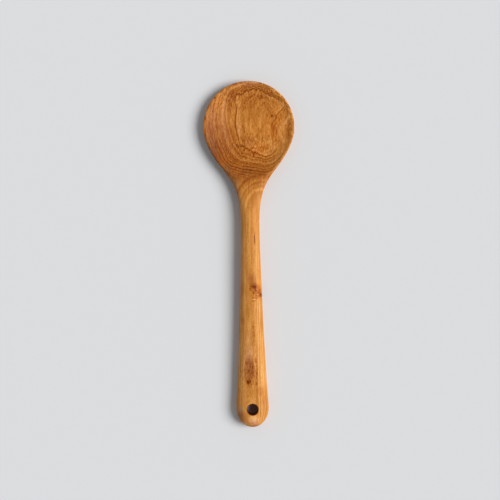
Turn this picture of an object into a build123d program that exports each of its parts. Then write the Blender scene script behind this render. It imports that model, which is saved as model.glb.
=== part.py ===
"""Wooden spoon carved from one piece of teak.

Lengths are millimetres. The spoon lies on its back along the Y axis with its hollow up:
+Y points to the tip of the head, +X to the right and +Z up. The origin is on the table
under the middle of the spoon's length.
"""

import os

from build123d import *

os.makedirs("parts", exist_ok=True)

# Outline seen from above
# A station is a distance along the spoon from the tip of its head.
spoon_length = 300.0
head_radius = 39.5
flank_start = 54.0
flank_end = 124.0
flank_start_pull = 30.0
flank_end_pull = 44.0
neck_half_width = 8.15
handle_half_width = 14.1
handle_end_length = 16.5
handle_spread_share = 0.4

# Side profile
# Heights above the table of the line along the top, the widest edge and the underside.
rim_height = 9.5
edge_height = 8.4
foot_depth = 0.16
rim_round = 1.6
shoulder_station = 82.0
neck_station = 122.0
handle_middle = 200.0
shoulder_height = 12.0
neck_top = 13.6
neck_edge = 7.7
neck_underside = 1.8
shoulder_edge = 8.2
shoulder_underside = 1.5
middle_top = 13.4
middle_edge = 7.1
middle_underside = 0.8
handle_end_thickness = 13.0
handle_end_round = 6.5

# Section shape
# How far the section bulges towards its corners: 0.55 is an ellipse, 1 is square.
ellipse_share = 0.5523
head_crown_share = 0.98
handle_crown_share = 0.6
handle_belly_share = 0.6
crown_side_share = 0.9

# Hollow of the bowl
hollow_depth = 5.4
rim_width = 1.0
hollow_reach = 38.3
hollow_overhang = 2.2
hollow_end = 49.0
bowl_round_share = 0.55
shoulder_square = 2.0
rim_ease = 0.5

# Hanging hole
hole_diameter = 9.5
hole_from_end = 15.8
hole_ease = 0.6

# Rows and columns of points that shape the hollow
hollow_rows = 28
hollow_columns = 25

# One overrun for every cut
cut_over = 30.0


def smooth(share):
    """Ease from 0 to 1 as the share goes from 0 to 1."""
    share = min(max(share, 0), 1)
    return share * share * (3 - 2 * share)


def through(stations, heights, station):
    """Height at a station of the smooth line through the given heights."""
    slopes = [0]
    for i in range(1, len(stations) - 1):
        before = (heights[i] - heights[i - 1]) / (stations[i] - stations[i - 1])
        after = (heights[i + 1] - heights[i]) / (stations[i + 1] - stations[i])
        even = before * after > 0
        slopes.append(2 * before * after / (before + after) if even else 0)
    slopes.append(0)
    last = len(stations) - 2
    i = max([k for k in range(last + 1) if stations[k] <= station], default=0)
    span = stations[i + 1] - stations[i]
    u = min(max((station - stations[i]) / span, 0), 1)
    start = heights[i] + u * u * (3 - 2 * u) * (heights[i + 1] - heights[i])
    lean = u * (1 - u) * span * ((1 - u) * slopes[i] - u * slopes[i + 1])
    return start + lean


def bezier(corners, u):
    """Point at share u of the cubic curve with four corner points."""
    weights = [(1 - u) ** 3, 3 * u * (1 - u) ** 2, 3 * u * u * (1 - u), u**3]
    across = sum(w * c[0] for w, c in zip(weights, corners))
    up = sum(w * c[1] for w, c in zip(weights, corners))
    return across, up


def circle_half_width(radius, station):
    """Half width of a circle at a distance from its edge."""
    return max(radius**2 - (station - radius) ** 2, 0) ** 0.5


def nose(station, length):
    """Share of the full size at a station of a rounded end of the given length."""
    left = 1 - min(station / length, 1)
    return (1 - left * left) ** 0.5


# The flank is one curve, tangent to the head's circle and to the handle's side.
flank_width = circle_half_width(head_radius, flank_start)
head_slope = (head_radius - flank_start) / flank_width
slant = (1 + head_slope**2) ** 0.5
flank_corners = [
    (flank_start, flank_width),
    (
        flank_start + flank_start_pull / slant,
        flank_width + flank_start_pull * head_slope / slant,
    ),
    (flank_end - flank_end_pull, neck_half_width),
    (flank_end, neck_half_width),
]


def half_width(station):
    """Half width of the outline at a station."""
    if station <= flank_start:
        return circle_half_width(head_radius, station)
    if station < flank_end:
        low = 0
        high = 1
        while high - low > 1e-9:
            middle = (low + high) / 2
            if bezier(flank_corners, middle)[0] < station:
                low = middle
            else:
                high = middle
        return bezier(flank_corners, low)[1]
    along = (station - flank_end) / (spoon_length - handle_end_length - flank_end)
    spread = handle_spread_share * along + (1 - handle_spread_share) * along**2
    full = neck_half_width + (handle_half_width - neck_half_width) * min(spread, 1)
    return full * nose(spoon_length - station, handle_end_length)


end_centre = handle_end_thickness / 2
profile_stations = [head_radius, shoulder_station, neck_station, handle_middle]
profile_stations.append(spoon_length - handle_end_length)
crown_line = [rim_height, shoulder_height, neck_top, middle_top, handle_end_thickness]
edge_line = [edge_height, shoulder_edge, neck_edge, middle_edge, end_centre]
belly_line = [-foot_depth, shoulder_underside, neck_underside, middle_underside]
belly_line.append(-foot_depth)


def section(station):
    """Closed outline across the spoon at a station."""
    wide = half_width(station)
    edge = through(profile_stations, edge_line, station)
    crown = through(profile_stations, crown_line, station) - edge
    belly = edge - through(profile_stations, belly_line, station)
    if station < head_radius:
        belly = belly * wide / head_radius
    end_share = nose(spoon_length - station, handle_end_round)
    crown = crown * nose(station, rim_round) * end_share
    belly = belly * end_share
    turn = smooth((station - flank_start) / (neck_station - flank_start))
    crown_share = head_crown_share + (handle_crown_share - head_crown_share) * turn
    belly_share = ellipse_share + (handle_belly_share - ellipse_share) * turn
    side_share = crown_side_share + (handle_crown_share - crown_side_share) * turn
    upper = [
        (wide, 0),
        (wide, side_share * crown),
        (crown_share * wide, crown),
        (0, crown),
    ]
    lower = [
        (wide, 0),
        (wide, -belly_share * belly),
        (belly_share * wide, -belly),
        (0, -belly),
    ]
    y = spoon_length / 2 - station
    quarters = []
    for corners in (upper, lower):
        right = [(x, y, edge + z) for x, z in corners]
        left = [(-x, y, edge + z) for x, z in corners]
        quarters.append(Edge.make_bezier(*right))
        quarters.append(Edge.make_bezier(*left))
    return Wire(quarters)


# Stations crowd towards both ends, where the outline turns fastest.
tip_shares = [0.012, 0.06, 0.12, 0.19, 0.27, 0.36, 0.46, 0.57, 0.69, 0.84, 1]
head_stations = [head_radius * share**2 for share in tip_shares]
flank_shares = [0.12, 0.24, 0.36, 0.46, 0.56, 0.66, 0.76, 0.88, 1]
flank_stations = [
    head_radius + (flank_end - head_radius) * share for share in flank_shares
]
grip_end = spoon_length - handle_end_length
grip_shares = [0.14, 0.3, 0.48, 0.66, 0.82, 0.94]
grip_stations = [flank_end + (grip_end - flank_end) * share for share in grip_shares]
end_shares = [1, 0.84, 0.69, 0.56, 0.44, 0.33, 0.23, 0.14, 0.07, 0.016]
end_stations = [spoon_length - handle_end_length * share**2 for share in end_shares]
stations = head_stations + flank_stations + grip_stations + end_stations
body = Solid.make_loft([section(station) for station in stations])


def hollow_height(x, reach):
    """Height of the hollow's surface, reach being measured from the bowl's middle."""
    station = head_radius + reach
    if reach <= 0:
        inner = head_radius - rim_width
        ratio = (x * x + reach * reach) / inner**2
    else:
        inner = half_width(station) - rim_width
        power = 1 + shoulder_square * smooth(reach / hollow_reach)
        across = (x / inner) ** 2
        along = (reach / hollow_reach) ** 2
        ratio = (across**power + along**power) ** (1 / power)
    rise = bowl_round_share * ratio + (1 - bowl_round_share) * ratio**2
    return rim_height - hollow_depth + hollow_depth * rise


# The hollow is everything above one dished surface, wider than the bowl all round.
hollow_start = head_radius + hollow_overhang
grid = []
for row in range(hollow_rows + 1):
    reach = -hollow_start + (hollow_start + hollow_end) * row / hollow_rows
    side = half_width(max(head_radius + reach, head_radius)) + hollow_overhang
    line = []
    for column in range(hollow_columns + 1):
        x = side * (2 * column / hollow_columns - 1)
        y = spoon_length / 2 - head_radius - reach
        line.append((x, y, hollow_height(x, reach)))
    grid.append(line)
dish = Face.make_surface_from_array_of_points(grid)
body = body - extrude(dish, amount=cut_over, dir=(0, 0, 1))
rim = body.edges().filter_by(
    lambda edge: edge.bounding_box().min.Z > edge_height
    and edge.bounding_box().max.X - edge.bounding_box().min.X > head_radius / 2
)
body = fillet(rim, rim_ease)

# Hanging hole, drilled straight through
hole_y = hole_from_end - spoon_length / 2
hole = Pos(0, hole_y, end_centre) * Cylinder(hole_diameter / 2, cut_over)
body = body - hole
hole_edges = body.edges().filter_by(
    lambda edge: edge.bounding_box().max.Y < hole_y + hole_diameter * 0.51
    and edge.bounding_box().min.Y > hole_y - hole_diameter * 0.51
)
body = fillet(hole_edges.filter_by(GeomType.BSPLINE), hole_ease)

# Small flats sanded under the bowl and under the handle's end, where the spoon rests
table = Pos(0, 0, -cut_over / 2) * Box(2 * head_radius, spoon_length, cut_over)
body = body - table

export_step(body, "parts/spoon.step")
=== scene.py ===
# %% [markdown]
# A carved teak spoon
#
# This lesson dresses a wooden cooking spoon. The frame holds its exact form. Here the
# spoon is carved again as a fine mesh that can carry a sanded surface, and then it gets
# its wood: growth layers, knots, pores, a hairline crack and an oiled sheen.

# %% Load the frame
import math

import bpy
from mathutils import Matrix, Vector

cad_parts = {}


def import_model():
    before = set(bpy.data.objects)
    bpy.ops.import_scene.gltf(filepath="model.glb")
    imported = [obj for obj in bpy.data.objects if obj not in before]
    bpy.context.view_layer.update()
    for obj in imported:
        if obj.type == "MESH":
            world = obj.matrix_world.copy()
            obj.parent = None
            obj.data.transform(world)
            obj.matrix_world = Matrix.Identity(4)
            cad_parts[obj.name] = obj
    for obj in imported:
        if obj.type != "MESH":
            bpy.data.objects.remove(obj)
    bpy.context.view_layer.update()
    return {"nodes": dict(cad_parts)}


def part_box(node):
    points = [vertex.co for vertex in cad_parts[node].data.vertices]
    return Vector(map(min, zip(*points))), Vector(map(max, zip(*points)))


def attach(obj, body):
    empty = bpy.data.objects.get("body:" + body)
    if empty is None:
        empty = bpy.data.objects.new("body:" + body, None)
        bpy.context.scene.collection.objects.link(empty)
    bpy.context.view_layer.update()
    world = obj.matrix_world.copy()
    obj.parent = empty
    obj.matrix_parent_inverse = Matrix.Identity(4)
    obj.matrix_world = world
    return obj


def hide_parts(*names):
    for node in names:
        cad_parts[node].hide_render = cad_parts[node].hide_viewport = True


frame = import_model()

MM = 0.001
spoon_low, spoon_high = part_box("spoon")
print("spoon in mm", [round(x / MM, 1) for x in (*spoon_low, *spoon_high)])

# %% [markdown]
# Operators act on whatever is selected, so everything is deselected before each new
# piece. Small helpers do that, choose one piece to work on, pick its vertices by their
# place, apply a modifier, and put a piece's own place at the origin.


# %% Helpers
def clear():
    """Leave edit mode with nothing selected."""
    if bpy.context.object and bpy.context.object.mode != "OBJECT":
        bpy.ops.object.mode_set(mode="OBJECT")
    bpy.ops.object.select_all(action="DESELECT")


def work_on(piece):
    """Make one piece the only selected and the active one."""
    clear()
    bpy.context.view_layer.objects.active = piece
    piece.select_set(True)


def pick(piece, wanted):
    """In edit mode, select and count the vertices whose place in mm is wanted."""
    bpy.ops.mesh.select_mode(type="VERT")
    bpy.ops.mesh.select_all(action="DESELECT")
    bpy.ops.object.mode_set(mode="OBJECT")
    count = 0
    for vertex in piece.data.vertices:
        x, y, z = vertex.co / MM
        vertex.select = wanted(x, y, z)
        count += vertex.select
    bpy.ops.object.mode_set(mode="EDIT")
    return count


def finish_with(piece, kind, **settings):
    """Add one modifier, set it, apply it and give back the number of faces."""
    work_on(piece)
    modifier = piece.modifiers.new(kind.lower(), kind)
    for name, value in settings.items():
        setattr(modifier, name, value)
    bpy.ops.object.modifier_apply(modifier=modifier.name)
    return len(piece.data.polygons)


def to_origin(piece):
    """Keep the mesh where it is and put the object's own place at the origin."""
    work_on(piece)
    bpy.ops.object.transform_apply(location=True, rotation=True, scale=True)


# %% [markdown]
# A maker starts from a blank: the outline sawn out, with a round belly and a flat top.
# Here the blank is one ring of vertices, extruded along the spoon. At each station it is
# resized to the spoon's width and to its depth below the widest edge, and the upper half
# is resized again by itself. The numbers are millimetres: place along Y, half width,
# underside, widest edge, top, and how high the upper half bulges before it is planed down
# to the top.

# %% Blank
STATIONS = [
    (149.6, 5.6, 6.8, 8.4, 9.2, 2.6),
    (148.0, 12.4, 5.6, 8.4, 9.5, 4.0),
    (145.0, 19.1, 4.3, 8.4, 9.5, 4.0),
    (139.0, 27.3, 2.6, 8.4, 9.5, 4.0),
    (130.0, 34.3, 1.1, 8.4, 9.5, 4.0),
    (120.0, 38.3, 0.3, 8.4, 9.5, 4.0),
    (110.5, 39.5, 0.0, 8.4, 9.5, 4.0),
    (100.0, 38.1, 0.2, 8.4, 9.8, 4.4),
    (92.0, 35.0, 0.5, 8.4, 10.3, 5.0),
    (85.0, 30.9, 0.8, 8.3, 10.8, 5.6),
    (78.0, 25.8, 1.1, 8.3, 11.3, 6.0),
    (71.0, 20.6, 1.4, 8.2, 11.8, 6.0),
    (64.0, 16.2, 1.6, 8.1, 12.3, 5.8),
    (56.0, 12.6, 1.7, 8.0, 12.8, 5.8),
    (46.0, 9.9, 1.8, 7.9, 13.3, 5.8),
    (34.0, 8.4, 1.8, 7.7, 13.6, 5.9),
    (15.0, 8.4, 1.7, 7.6, 13.6, 6.0),
    (-10.0, 8.9, 1.3, 7.4, 13.5, 6.1),
    (-40.0, 9.8, 0.9, 7.2, 13.4, 6.2),
    (-70.0, 10.9, 0.5, 6.9, 13.3, 6.4),
    (-100.0, 12.3, 0.1, 6.7, 13.1, 6.4),
    (-125.0, 13.7, 0.0, 6.5, 13.0, 6.5),
    (-133.5, 14.1, 0.0, 6.5, 13.0, 6.5),
    (-140.0, 13.0, 0.0, 6.5, 13.0, 6.5),
    (-145.0, 10.1, 0.3, 6.5, 12.7, 6.2),
    (-148.0, 6.7, 1.8, 6.5, 11.2, 4.7),
    (-149.6, 3.1, 4.1, 6.5, 8.9, 2.4),
]
RING_POINTS = 64
SAME_PLACE = 0.01


def pick_ring(along, above=-math.inf):
    """Select the ring at one station, or only its vertices above a height."""
    pick(spoon, lambda x, y, z: abs(y - along) < SAME_PLACE and z > above)


clear()
along, _, _, edge, _, _ = STATIONS[0]
bpy.ops.mesh.primitive_circle_add(
    vertices=RING_POINTS,
    radius=MM,
    fill_type="NGON",
    location=(0, along * MM, edge * MM),
    rotation=(math.pi / 2, 0, 0),
)
spoon = bpy.context.object
spoon.name = "carved_spoon"
to_origin(spoon)
bpy.ops.object.mode_set(mode="EDIT")
last_wide, last_deep, last_bulge = 1, 1, 1
last_middle = Vector((0, along, edge))
for along, half_width, underside, edge, _, bulge in STATIONS:
    middle = Vector((0, along, edge))
    if middle != last_middle:
        step = {"value": (middle - last_middle) * MM}
        bpy.ops.mesh.extrude_region_move(TRANSFORM_OT_translate=step)
    deep = edge - underside
    pick_ring(along)
    resize = (half_width / last_wide, 1, deep / last_deep)
    bpy.ops.transform.resize(value=resize, center_override=middle * MM)
    pick_ring(along, above=edge)
    resize = (1, 1, bulge / last_bulge * last_deep / deep)
    bpy.ops.transform.resize(value=resize, center_override=middle * MM)
    pick_ring(along)
    last_wide, last_deep, last_bulge = half_width, deep, bulge
    last_middle = middle
for along, _, _, _, top, _ in STATIONS:
    pick_ring(along, above=top)
    plane = Vector((0, along, top)) * MM
    bpy.ops.transform.resize(value=(1, 1, 0), center_override=plane)
bpy.ops.mesh.select_all(action="SELECT")
bpy.ops.mesh.normals_make_consistent(inside=False)
clear()
print("blank:", len(spoon.data.polygons), "faces")

# %% [markdown]
# The hollow is carved with a gouge that leaves a shallow dish. The cutter here is a large
# ball whose lowest cap is the dish. Towards the handle the real dish is a little longer, so
# that half of the ball is stretched. The hanging hole is drilled straight through.

# %% Hollow and hole
BOWL_CENTRE = Vector((0, 110.5, 0))
RIM_HEIGHT = 9.5
DISH_RADIUS = 38.3
DISH_DEPTH = 5.4
BALL_RADIUS = (DISH_RADIUS**2 + DISH_DEPTH**2) / (2 * DISH_DEPTH)
SHOULDER_STRETCH = 1.14
BALL_SIDES = 192
BALL_RINGS = 160
HOLE_CENTRE = Vector((0, -134.2, 6.5))
HOLE_RADIUS = 4.75
DRILL_SIDES = 96
DRILL_LENGTH = 30

clear()
bpy.ops.mesh.primitive_uv_sphere_add(
    segments=BALL_SIDES,
    ring_count=BALL_RINGS,
    radius=BALL_RADIUS * MM,
    location=(BOWL_CENTRE + Vector((0, 0, RIM_HEIGHT - DISH_DEPTH + BALL_RADIUS))) * MM,
)
ball = bpy.context.object
to_origin(ball)
bpy.ops.object.mode_set(mode="EDIT")
pick(ball, lambda x, y, z: y < BOWL_CENTRE.y - SAME_PLACE)
bpy.ops.transform.resize(
    value=(1, SHOULDER_STRETCH, 1), center_override=BOWL_CENTRE * MM
)
clear()
bpy.ops.mesh.primitive_cylinder_add(
    vertices=DRILL_SIDES,
    radius=HOLE_RADIUS * MM,
    depth=DRILL_LENGTH * MM,
    location=HOLE_CENTRE * MM,
)
drill = bpy.context.object
to_origin(drill)
for cutter in (ball, drill):
    faces = finish_with(spoon, "BOOLEAN", operation="DIFFERENCE", object=cutter)
    bpy.data.objects.remove(cutter)
print("hollowed and drilled:", faces, "faces")

# %% [markdown]
# Sanding rounds every edge and brings the wood to its final form. First the mesh is
# rebuilt from even faces, small enough to carry the rounded rim. Then come three strokes,
# each lighter than the one before: the mesh is swollen a little, drawn onto the exact form
# in the frame from outside, and smoothed as sandpaper would. At the end it is drawn on once
# more. The exact form is a merged copy of the CAD node, because the node's own mesh is
# loose triangles. A stroke is how far the mesh swells, in millimetres, and how many times
# it is smoothed.

# %% Sanding
FACE_SIZE = 0.62
STROKES = [(0.5, 6), (0.3, 4), (0.2, 2)]
SMOOTHING = 0.5
LAST_SWELL = 0.1
MERGED_WITHIN = 0.001


def draw_on(swell):
    """Swell the spoon a little and draw it onto the exact form."""
    finish_with(spoon, "DISPLACE", strength=swell * MM, mid_level=0)
    finish_with(spoon, "SHRINKWRAP", target=guide, wrap_method="NEAREST_SURFACEPOINT")


guide = frame["nodes"]["spoon"].copy()
guide.data = guide.data.copy()
guide.parent = None
bpy.context.scene.collection.objects.link(guide)
work_on(guide)
bpy.ops.object.mode_set(mode="EDIT")
bpy.ops.mesh.select_all(action="SELECT")
bpy.ops.mesh.remove_doubles(threshold=MERGED_WITHIN * MM)
clear()
faces = finish_with(spoon, "REMESH", mode="VOXEL", voxel_size=FACE_SIZE * MM)
for swell, passes in STROKES:
    draw_on(swell)
    finish_with(spoon, "SMOOTH", factor=SMOOTHING, iterations=passes)
draw_on(LAST_SWELL)
bpy.data.objects.remove(guide)
print("sanded:", faces, "faces")

# %% [markdown]
# Sandpaper held by hand doesn't leave a perfect form. It dips a little here and there, and
# it wears the soft wood between the hard grain lines. Both are real shape, so they go into
# the mesh: a Displace modifier pushes each vertex inwards by a cloud pattern. The pattern
# is read through an empty that is stretched along the spoon, so its patches are long. A
# patch has a size across, a size along and a depth. The top also has three small dents, at
# the two knots and at the hairline crack: place, size and depth. All are in millimetres.

# %% Hand-made surface
WORN_PATCHES = [(16, 45, 0.16), (2.4, 22, 0.05)]
DENTS = [(3.4, -29, 6, 0.12), (-2.8, -110, 6, 0.12), (3.6, 12.6, 3, 0.15)]
DENT_CORE = 0.2
TOP_SIDE = 6


def wear(across, along, deep):
    """Push the surface in by up to deep, in patches of a size across and along."""
    clouds = bpy.data.textures.new("wear", "CLOUDS")
    clouds.noise_scale = across * MM
    clear()
    bpy.ops.object.empty_add(location=(0, 0, 0))
    stretch = bpy.context.object
    stretch.scale = (1, along / across, 1)
    bpy.context.view_layer.update()
    finish_with(
        spoon,
        "DISPLACE",
        texture=clouds,
        texture_coords="OBJECT",
        texture_coords_object=stretch,
        strength=deep * MM,
        mid_level=1,
    )
    bpy.data.objects.remove(stretch)


def press(x, y, size, deep):
    """Press the top in by deep round one place, easing off over a size."""
    work_on(spoon)
    bpy.ops.object.mode_set(mode="EDIT")
    core = size * DENT_CORE
    count = pick(
        spoon, lambda a, b, c: c > TOP_SIDE and math.hypot(a - x, b - y) < core
    )
    bpy.ops.transform.translate(
        value=(0, 0, -deep * MM),
        use_proportional_edit=True,
        proportional_edit_falloff="SMOOTH",
        proportional_size=size * MM,
    )
    clear()
    return count


for patch in WORN_PATCHES:
    wear(*patch)
for dent in DENTS:
    print("dent", dent, "pressed from", press(*dent), "vertices")
work_on(spoon)
bpy.ops.object.shade_smooth()
print("triangles:", 2 * len(spoon.data.polygons))

# %% [markdown]
# The real spoon is one piece of wood, and so is this one. It stands for the one CAD node,
# stays with the body that doesn't move, and is made of teak.

# %% The spoon stands for the CAD node
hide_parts("spoon")
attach(spoon, "root")
print(spoon.name, "stands for the node spoon")

# %% [markdown]
# Wood is solid: its figure is the way the cut surface meets the growth layers, which run
# nearly flat through this spoon and along it. So the colour isn't painted on. Every point
# has a depth in the layers, worked out from its place, and the dished bowl cuts through
# them in curved bands by itself, as on the real one.
#
# Node trees are easier to read when they are written as sums. These helpers add one or a
# few nodes each and give back the output.

# %% Helpers for nodes
teak = bpy.data.materials.new("oiled_teak")
teak.use_nodes = True
nodes = teak.node_tree.nodes
links = teak.node_tree.links


def add_node(kind, inputs=(), **settings):
    """Add a node, set it, plug or set its inputs, and give back its first output."""
    made = nodes.new("ShaderNode" + kind)
    for name, value in settings.items():
        setattr(made, name, value)
    for socket, value in inputs:
        if isinstance(value, bpy.types.NodeSocket):
            links.new(value, made.inputs[socket])
        else:
            made.inputs[socket].default_value = value
    return made.outputs[0]


def maths(operation, *values):
    """One sum on plain numbers."""
    return add_node("Math", enumerate(values), operation=operation)


def plus(*values):
    """All values added up."""
    total = values[0]
    for value in values[1:]:
        total = maths("ADD", total, value)
    return total


def times(*values):
    """All values multiplied."""
    total = values[0]
    for value in values[1:]:
        total = maths("MULTIPLY", total, value)
    return total


def fade(value, start, end, low=0, high=1):
    """Go softly from low to high while the value goes from start to end."""
    inputs = enumerate((value, start, end, low, high))
    return add_node("MapRange", inputs, interpolation_type="SMOOTHSTEP")


def spread(level):
    """Noise stays near a half by itself. This brings it to about -1 to 1."""
    return maths("MULTIPLY_ADD", level, 4, -2)


def noise(place, across, along, detail=2, roughness=0.5, shift=0):
    """Noise from -1 to 1 whose patches have a size across and along the grain, in mm."""
    size = (1 / across, 1 / along, 1 / across)
    sized = add_node("VectorMath", [(0, place), (1, size)], operation="MULTIPLY")
    moved = add_node("VectorMath", [(0, sized), (1, (shift, shift, shift))])
    settings = [("Vector", moved), ("Scale", 1), ("Detail", detail)]
    settings.append(("Roughness", roughness))
    return spread(add_node("TexNoise", settings))


def noise_along(value, size, detail=1, shift=0):
    """Noise from -1 to 1 that changes with one number only."""
    turned = maths("MULTIPLY_ADD", value, 1 / size, shift)
    settings = [("W", turned), ("Scale", 1), ("Detail", detail)]
    return spread(add_node("TexNoise", settings, noise_dimensions="1D"))


print("material:", teak.name)

# %% [markdown]
# Object coordinates belong to the piece, so the wood stays in it wherever it lies. Blender
# gives them in metres, and they are turned into millimetres. A knot, a stain or a fleck has
# a place of its own on the real spoon, seen from above, so the helpers here draw soft
# ovals: the value is 1 inside and fades to 0 at the edge. A sum of such ovals is a map of
# the spoon.

# %% Place in millimetres
own_place = nodes.new("ShaderNodeTexCoord").outputs["Object"]
in_mm = add_node("VectorMath", [(0, own_place), ("Scale", 1 / MM)], operation="SCALE")
apart = nodes.new("ShaderNodeSeparateXYZ")
links.new(in_mm, apart.inputs[0])
place_x, place_y, place_z = apart.outputs
from_bowl = maths("SUBTRACT", place_y, BOWL_CENTRE.y)


def distance(x, y, wide, long):
    """Distance from a point seen from above: 1 on an oval of half sizes in mm."""
    offset = add_node("VectorMath", [(0, in_mm), (1, (x, y, 0))], operation="SUBTRACT")
    size = (1 / wide, 1 / long, 0)
    share = add_node("VectorMath", [(0, offset), (1, size)], operation="MULTIPLY")
    length = nodes.new("ShaderNodeVectorMath")
    length.operation = "LENGTH"
    links.new(share, length.inputs[0])
    return length.outputs["Value"]


def spot(x, y, wide, long, core=0):
    """1 inside an oval seen from above, fading to 0 at its edge."""
    return fade(distance(x, y, wide, long), core, 1, 1, 0)


def spots(rows, core=0):
    """A sum of ovals, each with a strength: x, y, half width, half length, strength."""
    total = 0
    for x, y, wide, long, strength in rows:
        total = plus(total, times(spot(x, y, wide, long, core), strength))
    return total


print("place:", len(nodes), "nodes")

# %% [markdown]
# The layers tilt a little towards the right and the tip of the head, which puts the middle
# of their figure up and to the right of the bowl's middle. They are also slightly dished
# across the spoon, bowed along it and twisted. Down the handle the tilt stops. Gentle hills
# in the layers pull single bands to where they run on the real spoon: place, half width,
# half length and height, in millimetres.
#
# Nothing in a tree is quite flat: waves, long along the grain and short across it, make
# each line jagged where the surface runs nearly along the layers, and hardly change it on
# the steep sides. The smaller waves are calmer at the left of the bowl, and from its
# shoulder, which is measured here from the bowl's middle, down the handle.

# %% Depth in the growth layers
TILT_RIGHT = -0.072
TILT_TO_TIP = -0.0355
DISH_ACROSS = 0.0008
TWIST = 0.0004
BOW_ALONG = -0.00034
HANDLE_FROM = -50
HILLS = [
    (-17.6, 142.2, 15.6, 19.1, -0.9),
    (30.5, 107.6, 17.3, 22.5, 0.8),
    (24.4, 108.0, 16.0, 20.0, 1.9),
    (-13.0, 112.0, 9.0, 28.0, 0.45),
    (-8.0, 81.5, 22.5, 12.1, -0.5),
    (23.8, 130.1, 13.9, 10.4, -0.35),
    (-12, 125, 9, 15, 0.4),
    (19.3, 114.5, 7, 8, 0.4),
    (23, 138.6, 10, 5.5, 0.75),
    (16.5, 139.5, 6, 4, 0.45),
    (34, 131.5, 10, 7.5, -1.6),
    (25.5, 121.5, 8, 6.5, 0.6),
]
SLOW_WAVES = 0.15
JAGGED_WAVES = 0.4
FINE_WAVES = 0.12
SHOULDER = (-30, -8)
CALM_SHARE = 0.3
CALM_AREAS = [(-14, 113, 16, 26, -0.95)]

towards_tip = maths("MAXIMUM", from_bowl, HANDLE_FROM)
lean = plus(
    times(place_x, TILT_RIGHT),
    times(towards_tip, TILT_TO_TIP),
    times(place_x, place_x, DISH_ACROSS),
    times(place_x, towards_tip, TWIST),
    times(towards_tip, towards_tip, BOW_ALONG),
    spots(HILLS),
)
wave_share = plus(fade(from_bowl, *SHOULDER, CALM_SHARE, 1), spots(CALM_AREAS))
slow = noise(in_mm, across=9, along=60, detail=1)
slow_waves = times(slow, SLOW_WAVES)
jagged = noise(in_mm, across=2.6, along=24, detail=3, roughness=0.6, shift=7)
jagged_waves = times(jagged, wave_share, JAGGED_WAVES)
fine = noise(in_mm, across=0.9, along=7, detail=1, shift=3)
fine_waves = times(fine, wave_share, FINE_WAVES)
waves = plus(slow_waves, jagged_waves, fine_waves)
depth = plus(place_z, lean, waves)
print("depth:", len(HILLS), "hills,", len(nodes), "nodes so far")

# %% [markdown]
# Every year left its own mark. The record below was read along this spoon's bowl, from the
# calm wood in the middle outwards: depth in millimetres, and how much dark matter that wood
# holds. A sharp peak is a dark line, and a dip is a gold band. The marks are stronger in
# some areas and weaker in others, and listed ovals say where.


# %% Growth record
def fade_line(value, start, end):
    """Go evenly from 0 to 1 while the value goes from start to end."""
    span = end - start
    return maths("MULTIPLY_ADD", value, 1 / span, -start / span)


def ramp(value, stops):
    """A Color Ramp read at a value: each stop is a share from 0 to 1 and its colour."""
    ramp_node = nodes.new("ShaderNodeValToRGB")
    elements = ramp_node.color_ramp.elements
    for number, (share, colour) in enumerate(stops):
        element = elements[number] if share in (0, 1) else elements.new(share)
        element.color = (*colour, 1)
    links.new(value, ramp_node.inputs[0])
    return ramp_node.outputs[0]


def record(value, rows, low=-1, high=2):
    """The tone that a list of depths or distances and their tones gives for a value."""
    first, last = rows[0][0], rows[-1][0]
    stops = []
    for deep, tone in rows:
        grey = (tone - low) / (high - low)
        stops.append(((deep - first) / (last - first), (grey, grey, grey)))
    level = ramp(fade_line(value, first, last), stops)
    return maths("MULTIPLY_ADD", level, high - low, low)


GROWTH = [
    (3.4, 0),
    (4.6, 0.05),
    (4.95, -0.12),
    (5.3, -0.2),
    (5.52, 0.05),
    (5.62, 1.25),
    (5.74, 0.15),
    (6.2, 0.1),
    (6.58, 0),
    (6.68, 0.95),
    (6.78, 0),
    (7.15, -0.16),
    (7.5, -0.1),
    (7.72, 0),
    (7.83, 0.9),
    (7.96, 0.15),
    (8.3, -0.1),
    (8.75, -0.05),
    (8.98, 0.85),
    (9.15, 0),
    (9.6, -0.1),
    (9.95, 0.1),
    (10.15, 0.75),
    (10.35, -0.05),
    (10.9, -0.1),
    (11.1, 0),
    (11.25, 0.6),
    (11.45, -0.05),
    (12.1, -0.1),
    (12.4, 0.35),
    (12.8, 0),
]
CONTRAST_AREAS = [
    (-26, 112, 18, 34, -0.45),
    (30, 108, 12, 28, -0.35),
    (4, 138, 26, 12, 0.95),
    (0, 93, 24, 11, 0.35),
    (-2, 76, 24, 9, 0.25),
    (24, 94, 12, 15, -0.8),
    (25, 113, 9, 12, -0.35),
    (22, 138, 14, 9, 0.8),
    (22, 135, 14, 6, 0.5),
    (-10, 89, 10, 7, -0.5),
    (-11, 113, 5, 20, -0.15),
    (7, -118, 10, 50, -0.6),
]
UNEVEN_CONTRAST = 0.4
uneven = noise(in_mm, across=9, along=16, detail=1, shift=41)
contrast = plus(1, times(uneven, UNEVEN_CONTRAST), spots(CONTRAST_AREAS))
years = times(record(depth, GROWTH), contrast)
print("growth record:", len(GROWTH), "marks,", len(nodes), "nodes so far")

# %% [markdown]
# Between the marks of the record lie thin faint lines and soft bands, too many to write
# down. Noise along the depth makes them: a thin line lies wherever it passes through zero.
# The thin lines are weaker on the neck and the handle, and there are none in the deepest
# layers.

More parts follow.
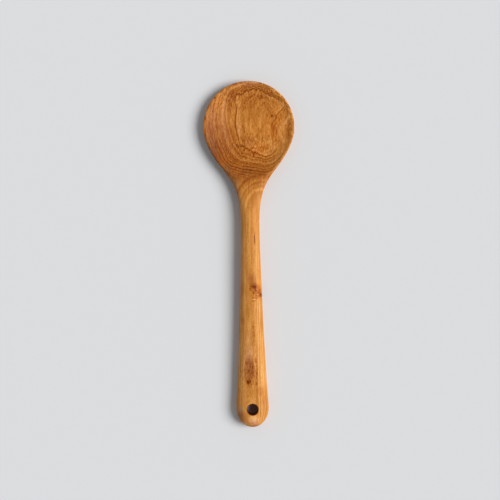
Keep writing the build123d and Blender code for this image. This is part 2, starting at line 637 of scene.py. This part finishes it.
# %% Faint lines and bands
THIN_LINE_WIDTH = 0.22
THIN_LINE_TONE = 0.55
THIN_LINES_FROM = (5.4, 6)
NECK = (20, 50)
NECK_SHARE = 0.3
SOFT_BAND_TONE = 0.22
FAINT_BASE = -0.1
swing = maths("ABSOLUTE", noise_along(depth, size=0.7, shift=4.2))
thin_tone = fade(depth, *THIN_LINES_FROM, 0, THIN_LINE_TONE)
thin_share = times(thin_tone, fade(place_y, *NECK, NECK_SHARE, 1))
thin_lines = times(fade(swing, 0, THIN_LINE_WIDTH, 1, 0), contrast, thin_share)
soft_bands = times(noise_along(depth, size=0.5, detail=2, shift=8), SOFT_BAND_TONE)
faint_years = plus(thin_lines, soft_bands, FAINT_BASE)
print("faint lines:", len(nodes), "nodes so far")

# %% [markdown]
# On the neck the gouge came out of the hollow and cut the layers almost flat. They show as
# arches there, so the neck gets rings round one point on its right side instead. The point
# has a half width and a half length, and the rows give the distance from it, as a share of
# those, and the tone there. The rings take over between two places on Y and end between two
# others.

# %% Arches of the neck
ARCH_CENTRE = (10, 38, 14, 18)
ARCHES_START = (32, 44)
ARCHES_END = (64, 70)
ARCH_WAVES = 0.035
ARCHES = [
    (0.5, 0),
    (0.86, 0.15),
    (1, -0.45),
    (1.12, 0.1),
    (1.25, -0.1),
    (1.34, 0.3),
    (1.42, -0.15),
    (1.52, 0.1),
    (1.6, 0.2),
    (1.7, 0.75),
    (1.82, 0),
]
arch_waves = times(noise(in_mm, across=3, along=16, detail=3, shift=13), ARCH_WAVES)
arches = record(plus(distance(*ARCH_CENTRE), arch_waves), ARCHES)
on_neck = times(fade(place_y, *ARCHES_START), fade(place_y, *ARCHES_END, 1, 0))
layers = times(plus(years, faint_years), maths("SUBTRACT", 1, on_neck))
figure = plus(layers, times(arches, on_neck))
print("arches:", len(ARCHES), "rings,", len(nodes), "nodes so far")

# %% [markdown]
# Grain flows round a knot as water flows round a stone. So near a knot the place that the
# fibres are read from is drawn sideways towards the knot's middle, and the fibres swell
# round it. A knot has a place, a half width, a half length and a pull from 0 to 1.

# %% Knots
KNOTS = [
    (5.4, -31.5, 7, 13, 0.8),
    (-1.2, -106, 9, 22, 0.55),
    (-9, -57, 5, 9, 0.5),
]
bent = in_mm
for x, y, wide, long, pull in KNOTS:
    offset = add_node("VectorMath", [(0, in_mm), (1, (x, y, 0))], operation="SUBTRACT")
    across = add_node("VectorMath", [(0, offset), (1, (-1, 0, 0))], operation="MULTIPLY")
    strength = times(spot(x, y, wide, long), pull)
    moved = add_node("VectorMath", [(0, across), ("Scale", strength)], operation="SCALE")
    bent = add_node("VectorMath", [(0, bent), (1, moved)])
print("knots:", len(KNOTS), "of them,", len(nodes), "nodes so far")

# %% [markdown]
# Close up, teak is a bundle of fibres with open pores between them, cut lengthwise. Four
# sizes of noise, each stretched along the grain, stand for broad stripes, streaks, fibres
# and pores. The grain is stronger at both ends of the bowl, where the cut runs across the
# fibres, and round the lower knot.

# %% Fibres and pores
GRAIN_AREAS = [
    (0, 138, 40, 20, 1.2),
    (0, 91, 40, 18, 1.1),
    (0, 74, 30, 16, 0.4),
    (-3, -104, 14, 44, 0.8),
    (-1, -102, 5, 22, 0.7),
]
FLARE = (44, 60)
HANDLE_GRAIN = 0.4
HEAD_GRAIN = 1.2
PORE_EDGE = (0.3, 0.8)

grain_level = fade(place_y, *FLARE, HANDLE_GRAIN, HEAD_GRAIN)
grain = plus(grain_level, spots(GRAIN_AREAS))
broad = noise(bent, across=3, along=55, detail=3, roughness=0.6, shift=17)
streaks = noise(bent, across=1.6, along=20, detail=4, roughness=0.7, shift=11)
fibres = noise(bent, across=0.7, along=3.4, detail=2, roughness=0.6, shift=19)
pores = fade(noise(bent, across=0.5, along=2.4, detail=1, shift=23), *PORE_EDGE)
print("fibres and pores:", len(nodes), "nodes so far")

# %% [markdown]
# Some places are speckled with short dark dots, where many pores were cut open. A rounder
# noise makes the dots, and ovals say where they show.

# %% Speckles
SPECKLED_AREAS = [
    (-1, -102, 6, 21, 0.9),
    (3.6, -106, 2.2, 24, 1),
    (0, -70, 16, 80, 0.3),
    (0, 20, 14, 70, 0.3),
    (1.8, -70, 2.6, 18, 0.8),
    (4, -33, 7, 9, 0.9),
    (0, 93, 30, 14, 0.6),
    (4, 138, 30, 12, 0.6),
]
DOT_EDGE = (0.1, 0.7)
dots = fade(noise(in_mm, across=0.8, along=1.3, detail=1, shift=37), *DOT_EDGE)
speckles = times(dots, spots(SPECKLED_AREAS))
print("speckled areas:", len(SPECKLED_AREAS))

# %% [markdown]
# No two places on a real spoon have the same tone. These ovals stand for the darker and
# lighter areas of this one, in millimetres seen from above: place, half width, half length
# and how much dark matter they add, or take away where the number is below 0. Zones are the
# soft areas of the head and the neck. The big zone at the lower left of the head is partly
# painted shade, where that side turns away from the lamp, and partly the wood's own darker
# figure.

# %% Zones of the head and the neck
ZONES = [
    (-2, 141.4, 30, 9, 0.35),
    (-15.1, 136.2, 13, 11, 0.3),
    (0.5, 131, 9, 9, 0.32),
    (16, 132, 20, 9, 0.3),
    (-33, 110, 14, 30, 0.3),
    (-9, 116, 5, 22, 0.25),
    (-1, 99, 12, 8, 0.35),
    (-7, 130, 9, 10, 0.2),
    (3, 122, 12, 12, 0.2),
    (10, 68, 10, 7, 0.4),
    (3, 95, 14, 7, 0.15),
    (-11, 82, 9, 8, 0.25),
    # Partly painted shade at the lower left of the head, partly darker figure.
    (-28.8, 84.1, 36, 36, 0.95),
    (-6, 66.5, 19, 9, 0.5),
    (0.6, 74.6, 28, 11, 0.35),
    (8, 76, 22, 11, 0.45),
    (3, 54, 14, 20, 0.25),
    (18.2, 94.5, 10, 12, -0.1),
    (30.6, 114.5, 11, 21, -0.3),
    (35.5, 108, 5, 16, 0.3),
    (20, 120, 6, 5, 0.3),
    (-5, 113, 3.2, 26, 0.55),
    (-9, 114, 2.6, 22, -0.22),
    (-2, 67, 8, 5, -0.2),
    (8, 137, 20, 6, 0.35),
    (10, 90, 10, 5, 0.3),
    (35, 124, 6, 8, 0.3),
    (21, 119, 4, 6, 0.3),
    (0, 103, 7, 7, 0.25),
    (8, 61, 6, 8, 0.25),
    (-26, 120, 6, 24, 0.2),
    (-18, 106, 6, 9, 0.2),
    (13, 118, 6, 16, 0.2),
    (13, 92, 8, 6, 0.2),
    (20.6, 110, 3.5, 10, 0.35),
    (9.8, 114.5, 6, 9, -0.25),
    (-2.5, 133.6, 5, 6, 0.25),
]
print("zones:", len(ZONES))

# %% [markdown]
# Flecks are short strokes with a clearer edge, nearly all of them dark. The first ones
# lie in the bowl, the next ones round the upper knot, round the lower knot and between the
# two, and the last three are the hairline crack and its two faint ends.

# %% Flecks
FLECKS = [
    (11.7, 99.8, 0.9, 4.6, 0.9),
    (7.1, 102.4, 0.9, 2.8, 0.7),
    (17.3, 102.3, 1.0, 1.5, 0.8),
    (23.3, 98.6, 0.9, 2.2, 0.6),
    (19.0, 89.3, 0.9, 2.8, 0.7),
    (3.7, 85.9, 1.1, 3.0, 1.2),
    (-4.2, 90.6, 1.1, 1.3, 1.4),
    (-7.5, 93.6, 2.6, 0.8, 0.8),
    (3.4, 92, 2.8, 0.9, 0.9),
    (11.5, 137.2, 1.1, 3.6, 0.9),
    (-3.1, 127.5, 1.6, 2.4, 0.5),
    (20.2, 119.7, 2.0, 1.3, 0.9),
    (-15.1, 130, 1.0, 2.6, 0.6),
    (-4.7, 98.9, 2.0, 1.4, 0.6),
    (-31.1, 124, 1.0, 1.0, 0.8),
    (34.4, 107, 1.3, 8, 0.3),
    (3.3, -28.6, 1.9, 2, 0.9),
    (1.4, -28.1, 3, 1.6, 0.6),
    (2.2, -33.4, 1.1, 1.7, 1.1),
    (6.6, -33.1, 1.3, 0.9, 0.7),
    (8.4, -35.4, 2.2, 2.4, 1.2),
    (5.1, -38.1, 1, 1.3, 0.8),
    (2.5, -37.8, 1.7, 1, 0.7),
    (2.5, -40.4, 2.8, 0.8, 0.5),
    (6.2, -30.4, 2.6, 0.8, -0.3),
    (6.4, -35, 2.4, 0.8, -0.3),
    (4.2, -31.6, 1.8, 0.9, 0.6),
    (5, -36.2, 2, 0.8, 0.5),
    (7.6, -30.8, 1, 1.2, 0.5),
    (-0.6, -30.6, 1.6, 2.4, 0.45),
    (1.8, -39.1, 2.4, 0.7, -0.35),
    (-3.6, -110.5, 1.7, 2.2, 1.4),
    (-1.5, -109.6, 1.0, 1.0, 1.2),
    (-5.2, -94, 0.9, 2.6, 0.8),
    (0.4, -98, 0.9, 2.6, 0.8),
    (-2.6, -101, 0.9, 2.2, 0.8),
    (3.4, -92, 0.8, 3.2, 0.8),
    (4.1, -103, 0.8, 2.2, 0.9),
    (3.4, -112, 0.8, 2.6, 0.8),
    (1.4, -63, 0.8, 2.6, 0.35),
    (2.6, -70, 0.8, 3.2, 0.35),
    (0.6, -77, 0.8, 2.6, 0.35),
    (3.2, -83, 0.8, 3.0, 0.35),
    (3.6, 13, 0.5, 7.5, 1.7),
    (2.6, 20.5, 0.6, 4, 0.4),
    (3.4, 2, 0.6, 4, 0.4),
]
print("flecks:", len(FLECKS))

# %% [markdown]
# The handle has stains round its knots, lighter stripes along its grain, a darker very end
# and a light place round the hole. The darker very end and its left corner are painted
# shade, where the rounded end rolls away from the lamp. The last mark is the stain beside
# the hairline crack. Patches are stains with a clearer edge.

# %% Marks on the handle
HANDLE_MARKS = [
    (5.7, 7, 2.4, 26, -0.2),
    (-0.7, -22.5, 4, 8, 0.35),
    (2.2, -22.5, 3.4, 9, 0.5),
    (2.6, -28, 5.5, 5, 0.9),
    (-3, -50, 3.5, 9, 0.3),
    (-2, -12, 3, 14, 0.2),
    (4.2, -32, 7.5, 10, 0.45),
    (7.4, -33, 3.4, 8, 0.5),
    (-6, -31, 5, 10, 0.3),
    (-8, -57, 3, 6, 0.3),
    (8, -62, 3, 12, 0.3),
    (5.8, -64, 4, 24, -0.25),
    (-3.5, -75, 2, 8, -0.35),
    (1.8, -71, 2.4, 17, 0.25),
    (-3, -110, 5, 6, 0.3),
    (-1, -104, 6.5, 20, 0.45),
    (-2, -88, 8, 34, -0.3),
    (-1, -127, 7, 7, -0.35),
    (3.8, -105, 1.8, 20, 0.35),
    (1, -129, 19, 23, 0.24),
    (-10.5, -14, 4, 36, -0.3),
    (7, -118, 5, 6, 0.35),
    (9.4, -105, 5, 18, -0.25),
    (0, -134, 9, 9, -0.45),
    (2, 0, 7, 40, 0.12),
    (-11, -85, 4, 16, -0.2),
    # Painted shade: the left corner and the very end, where the rounded end rolls away from
    # the lamp.
    (-9.5, -141, 6, 8, 0.7),
    (0, -150, 14, 4, 0.75),
    (1, -142, 8, 5, -0.7),
    (3.6, 12.6, 1.8, 9, 0.3),
]
PATCHES = [
    (-2.2, -102, 5.2, 14, 0.42),
    (-1.6, -93, 4, 6, 0.2),
    (1.6, -68, 2.2, 14, 0.1),
]
print("marks on the handle:", len(HANDLE_MARKS) + len(PATCHES))

# %% [markdown]
# The drill left a dark rim round the hole, and the wall inside the hole is made darker
# still, painted shade that keeps the hole dark. With them, all that darkens or lightens the
# wood adds up to one number, the density of dark matter at each point.

# %% Density
HANDLE_TONE = -0.22
HANDLE_START = 40
HEAD_START = 70
FLECK_CORE = 0.3
PATCH_CORE = 0.6
# Scorch from the drill on the rim, and painted shade on the wall inside the hole.
SCORCH_AND_HOLE_SHADE_REACH = (HOLE_RADIUS + 0.1, HOLE_RADIUS + 0.8)
SCORCH_AND_HOLE_SHADE_TONE = 2
BROAD_TONES = (0.24, 0.05)
STREAK_TONES = (0.24, 0.3)
TONE_CHANGE = (40, 60)
FIBRE_TONE = 0.32
PORE_TONE = 0.42
SPECKLE_TONE = 0.9

hole_reach = distance(0, HOLE_CENTRE.y, 1, 1)
marks = plus(
    fade(place_y, HANDLE_START, HEAD_START, HANDLE_TONE, 0),
    spots(ZONES),
    spots(FLECKS, FLECK_CORE),
    spots(HANDLE_MARKS),
    spots(PATCHES, PATCH_CORE),
    # Scorched rim, and painted shade inside the hole.
    fade(hole_reach, *SCORCH_AND_HOLE_SHADE_REACH, SCORCH_AND_HOLE_SHADE_TONE, 0),
)
density = plus(
    figure,
    times(broad, fade(place_y, *TONE_CHANGE, *BROAD_TONES)),
    times(streaks, fade(place_y, *TONE_CHANGE, *STREAK_TONES)),
    times(fibres, grain, FIBRE_TONE),
    times(pores, grain, PORE_TONE),
    times(speckles, SPECKLE_TONE),
    marks,
)
print("density:", len(nodes), "nodes so far")

# %% [markdown]
# Teak goes from honey to dark brown. Light that passes through more dark matter loses blue
# first, then green, then red, so one formula gives a whole ramp from the colour of the
# light wood alone. This spoon needs four ramps: golden, amber and rosy wood, the rosy in
# places partly painted sheen, and a grey brown that is painted shade.

# %% Colour from density
GOLDEN = (0.592, 0.225, 0.04)
AMBER = (0.635, 0.21, 0.031)
# Rosy: the wood's own tone, and in places partly painted sheen.
ROSY_AND_SHEEN = (0.525, 0.198, 0.067)
# A grey brown that paints shade.
SHADE_BROWN = (0.405, 0.188, 0.077)
DARKENING = (0.58, 0.95, 1.6)
DENSITY_LOW = -0.8
DENSITY_HIGH = 2.2
RAMP_STOPS = 9


def wood_colours(light_wood):
    """A ramp from the palest to the darkest wood of one kind."""
    stops = []
    for stop in range(RAMP_STOPS):
        share = stop / (RAMP_STOPS - 1)
        level = DENSITY_LOW + share * (DENSITY_HIGH - DENSITY_LOW)
        colour = [c * math.exp(-level * k) for c, k in zip(light_wood, DARKENING)]
        stops.append((share, colour))
    return ramp(fade_line(density, DENSITY_LOW, DENSITY_HIGH), stops)


print("kinds of light wood: golden, amber, rosy, dusky")

# %% [markdown]
# The kinds of wood turn into each other over the spoon. Golden is the base. Amber lies
# mostly at the right of the bowl and along the handle, rosy at the left, at both tips and
# at the knots. At the left of the bowl and down the handle the rosy is partly painted
# sheen, the paler and greyer look that sky light gives there. The grey brown is painted
# shade, on the lower left side of the head and down the left edge of the handle, the sides
# that turn away from the lamp.

# %% Areas of each kind of wood
# At the left of the bowl and down the handle this rosy wood is partly painted sheen; at
# both tips and at the knots it is the wood's own tone.
ROSY_AND_SHEEN_AREAS = [
    (-26, 108, 22, 40, 0.7),
    (0, 148, 34, 7, 0.6),
    (-4, 70, 26, 12, 0.5),
    (2, -23, 5, 10, 0.5),
    (5.2, -31.6, 4, 3, 0.5),
    (-3, -98, 8, 24, 0.7),
    (-3, -78, 7, 24, 0.3),
    (0, -146, 16, 9, 0.6),
    (-10, -10, 5, 90, 0.8),
]
# Painted shade: the lower left side of the head and the left edge of the handle, the sides
# away from the lamp.
PAINTED_SHADE_AREAS = [
    (-29, 82, 8, 18, 0.6),
    (-33, 94, 9, 18, 0.6),
    (-20, 72, 8, 12, 0.9),
    (-13.5, 60, 6, 14, 1.1),
    (-10.5, 44, 4.5, 18, 0.9),
    (-9.5, 16, 3, 34, 0.2),
    (-10.5, -40, 3, 42, 0.4),
    (-12, -95, 3.5, 36, 0.5),
    (-11, -137, 6, 12, 0.9),
]
AMBER_AREAS = [
    (24, 108, 16, 32, 0.9),
    (8, 90, 18, 9, 0.9),
    (27, 118, 14, 24, 0.5),
    (7, 108, 14, 26, 0.5),
    (10, 135, 26, 14, 0.4),
    (-26, 132, 12, 10, 0.5),
    (6, -31, 6, 14, 1),
    (3, 25, 6, 36, 0.5),
    (9, -122, 8, 18, 0.4),
    (12, -70, 4, 40, 0.4),
]
print("areas:", len(AMBER_AREAS), len(ROSY_AND_SHEEN_AREAS), len(PAINTED_SHADE_AREAS))

# %% [markdown]
# The kinds are mixed one after the other, each by the sum of its ovals. The rosy wood also
# follows the growth lines a little, and it comes and goes in layers and in patches.


# %% Mixing the kinds of wood
def mixed(share, one, other):
    """One colour that turns into another as the share goes from 0 to 1."""
    # A Mix node has sockets for every kind of value. These are the ones for colours.
    first, second, result = 6, 7, 2
    mix = nodes.new("ShaderNodeMix")
    mix.data_type = "RGBA"
    links.new(share, mix.inputs[0])
    links.new(one, mix.inputs[first])
    links.new(other, mix.inputs[second])
    return mix.outputs[result]


ROSY_LINES = 0.08
ROSY_LAYERS = 0.2
ROSY_PATCHES = 0.2
rosy_and_sheen_share = plus(
    spots(ROSY_AND_SHEEN_AREAS),
    times(years, ROSY_LINES),
    times(noise_along(depth, size=1.1, shift=9), ROSY_LAYERS),
    times(noise(bent, across=5, along=30, detail=1, shift=31), ROSY_PATCHES),
)
golden, amber, rosy_and_sheen, shade_brown = map(wood_colours, (GOLDEN, AMBER, ROSY_AND_SHEEN, SHADE_BROWN))
warm = mixed(fade(spots(AMBER_AREAS), 0, 1), golden, amber)
# The rosy mix is partly painted sheen at the left of the bowl and down the handle.
pink = mixed(fade(rosy_and_sheen_share, 0, 1), warm, rosy_and_sheen)
# The grey brown paints shade on the sides away from the lamp.
colour = mixed(fade(spots(PAINTED_SHADE_AREAS), 0, 1), pink, shade_brown)
print("colour:", len(nodes), "nodes so far")

# %% [markdown]
# Oil gives the wood a satin sheen. Fibres and growth lines break it up, and open pores are
# dull. Pores and dark lines also lie a few hundredths of a millimetre lower than the rest,
# which a Bump node shows without more faces.

# %% Shader
SPECULAR = 0.1
ROUGHNESS = 0.44
ROUGHER_FIBRES = 0.05
ROUGHER_PORES = 0.15
ROUGHER_LINES = 0.06
PORE_HEIGHT = -0.05
LINE_HEIGHT = -0.04
FIBRE_HEIGHT = 0.02
BUMP_STRENGTH = 0.6

shader = nodes["Principled BSDF"]
shader.inputs["Specular IOR Level"].default_value = SPECULAR
links.new(colour, shader.inputs["Base Color"])
roughness = plus(
    ROUGHNESS,
    times(fibres, ROUGHER_FIBRES),
    times(pores, ROUGHER_PORES),
    times(years, ROUGHER_LINES),
)
links.new(roughness, shader.inputs["Roughness"])
height = plus(
    times(pores, PORE_HEIGHT), times(years, LINE_HEIGHT), times(fibres, FIBRE_HEIGHT)
)
bump_inputs = [("Height", height), ("Strength", BUMP_STRENGTH), ("Distance", MM)]
links.new(add_node("Bump", bump_inputs), shader.inputs["Normal"])
spoon.data.materials.clear()
spoon.data.materials.append(teak)
print("wood:", len(nodes), "nodes")

# %% [markdown]
# The floor is plain and pale, and it reaches far beyond the picture. It belongs to the
# picture only and not to the part.

# %% Floor
FLOOR_SIZE = 40
FLOOR_COLOUR = (0.77, 0.775, 0.785, 1)
FLOOR_ROUGHNESS = 0.9

clear()
bpy.ops.mesh.primitive_plane_add(size=FLOOR_SIZE, location=(0, 0, 0))
floor = bpy.context.object
floor.name = "floor"
floor_paint = bpy.data.materials.new("pale_floor")
floor_paint.use_nodes = True
paint = floor_paint.node_tree.nodes["Principled BSDF"]
paint.inputs["Base Color"].default_value = FLOOR_COLOUR
paint.inputs["Roughness"].default_value = FLOOR_ROUGHNESS
paint.inputs["Specular IOR Level"].default_value = SPECULAR
floor.data.materials.append(floor_paint)
print("floor:", FLOOR_SIZE, "m wide")

# %% [markdown]
# In the photo the light comes from the right and its shadows are soft: a window. Here that
# is a sun lamp with a wide angle. It is strong enough for a colour to look as written.

# %% Lamp
LAMP_AZIMUTH = math.radians(-2)
LAMP_ELEVATION = math.radians(44)
LAMP_ANGLE = math.radians(36)
LAMP_STRENGTH = 2.9

lamp_data = bpy.data.lights.new("window", "SUN")
lamp_data.angle = LAMP_ANGLE
lamp_data.energy = LAMP_STRENGTH
lamp = bpy.data.objects.new("window", lamp_data)
bpy.context.scene.collection.objects.link(lamp)
towards = Vector(
    (
        math.cos(LAMP_ELEVATION) * math.cos(LAMP_AZIMUTH),
        math.cos(LAMP_ELEVATION) * math.sin(LAMP_AZIMUTH),
        math.sin(LAMP_ELEVATION),
    )
)
lamp.rotation_euler = towards.to_track_quat("Z", "Y").to_euler()
print("lamp: towards", [round(part, 2) for part in towards])

# %% [markdown]
# The sky fills the shadows. Straight overhead, where the person with the camera stands, it
# is much dimmer, and that keeps the hanging hole dark. The height of a direction is 0 at
# the horizon and 1 straight up.

# %% Sky
SKY_COLOUR = (0.95, 0.98, 1, 1)
SKY_STRENGTH = 0.37
OVERHEAD_STRENGTH = 0.06
OVERHEAD_FROM = 0.78
OVERHEAD_FULL = 0.95

sky = bpy.data.worlds.new("sky")
sky.use_nodes = True
sky_nodes = sky.node_tree.nodes
sky_links = sky.node_tree.links
sky_nodes["Background"].inputs["Color"].default_value = SKY_COLOUR
looking = sky_nodes.new("ShaderNodeSeparateXYZ")
direction = sky_nodes.new("ShaderNodeTexCoord")
sky_links.new(direction.outputs["Generated"], looking.inputs[0])
overhead = sky_nodes.new("ShaderNodeMapRange")
overhead.interpolation_type = "SMOOTHSTEP"
dimming = (OVERHEAD_FROM, OVERHEAD_FULL, SKY_STRENGTH, OVERHEAD_STRENGTH)
for socket, value in enumerate(dimming, start=1):
    overhead.inputs[socket].default_value = value
sky_links.new(looking.outputs["Z"], overhead.inputs[0])
sky_links.new(overhead.outputs[0], sky_nodes["Background"].inputs["Strength"])
bpy.context.scene.world = sky
bpy.context.scene.view_settings.view_transform = "Standard"
print("sky:", SKY_STRENGTH, "and overhead", OVERHEAD_STRENGTH)

# %% [markdown]
# The photo looks straight down. The spoon leans a little to the left in it, so the camera
# is rolled by that much and the spoon stays straight. The lens follows from the camera's
# height and from the width that the picture shows at the height of the spoon's sides.

# %% Camera
CAMERA_HEIGHT = 1.0
SIDE_HEIGHT = 0.007
PICTURE_WIDTH = 0.4335
SPOON_LEAN = math.radians(0.77)
PICTURE_MIDDLE = (-0.0004, 0.0035)
SENSOR_WIDTH = 36

camera_data = bpy.data.cameras.new("camera")
camera_data.sensor_width = SENSOR_WIDTH
camera_data.lens = SENSOR_WIDTH * (CAMERA_HEIGHT - SIDE_HEIGHT) / PICTURE_WIDTH
camera = bpy.data.objects.new("camera", camera_data)
bpy.context.scene.collection.objects.link(camera)
camera.location = (*PICTURE_MIDDLE, CAMERA_HEIGHT)
camera.rotation_euler = (0, 0, -SPOON_LEAN)
bpy.context.scene.camera = camera
print("lens:", round(camera_data.lens, 1), "mm")
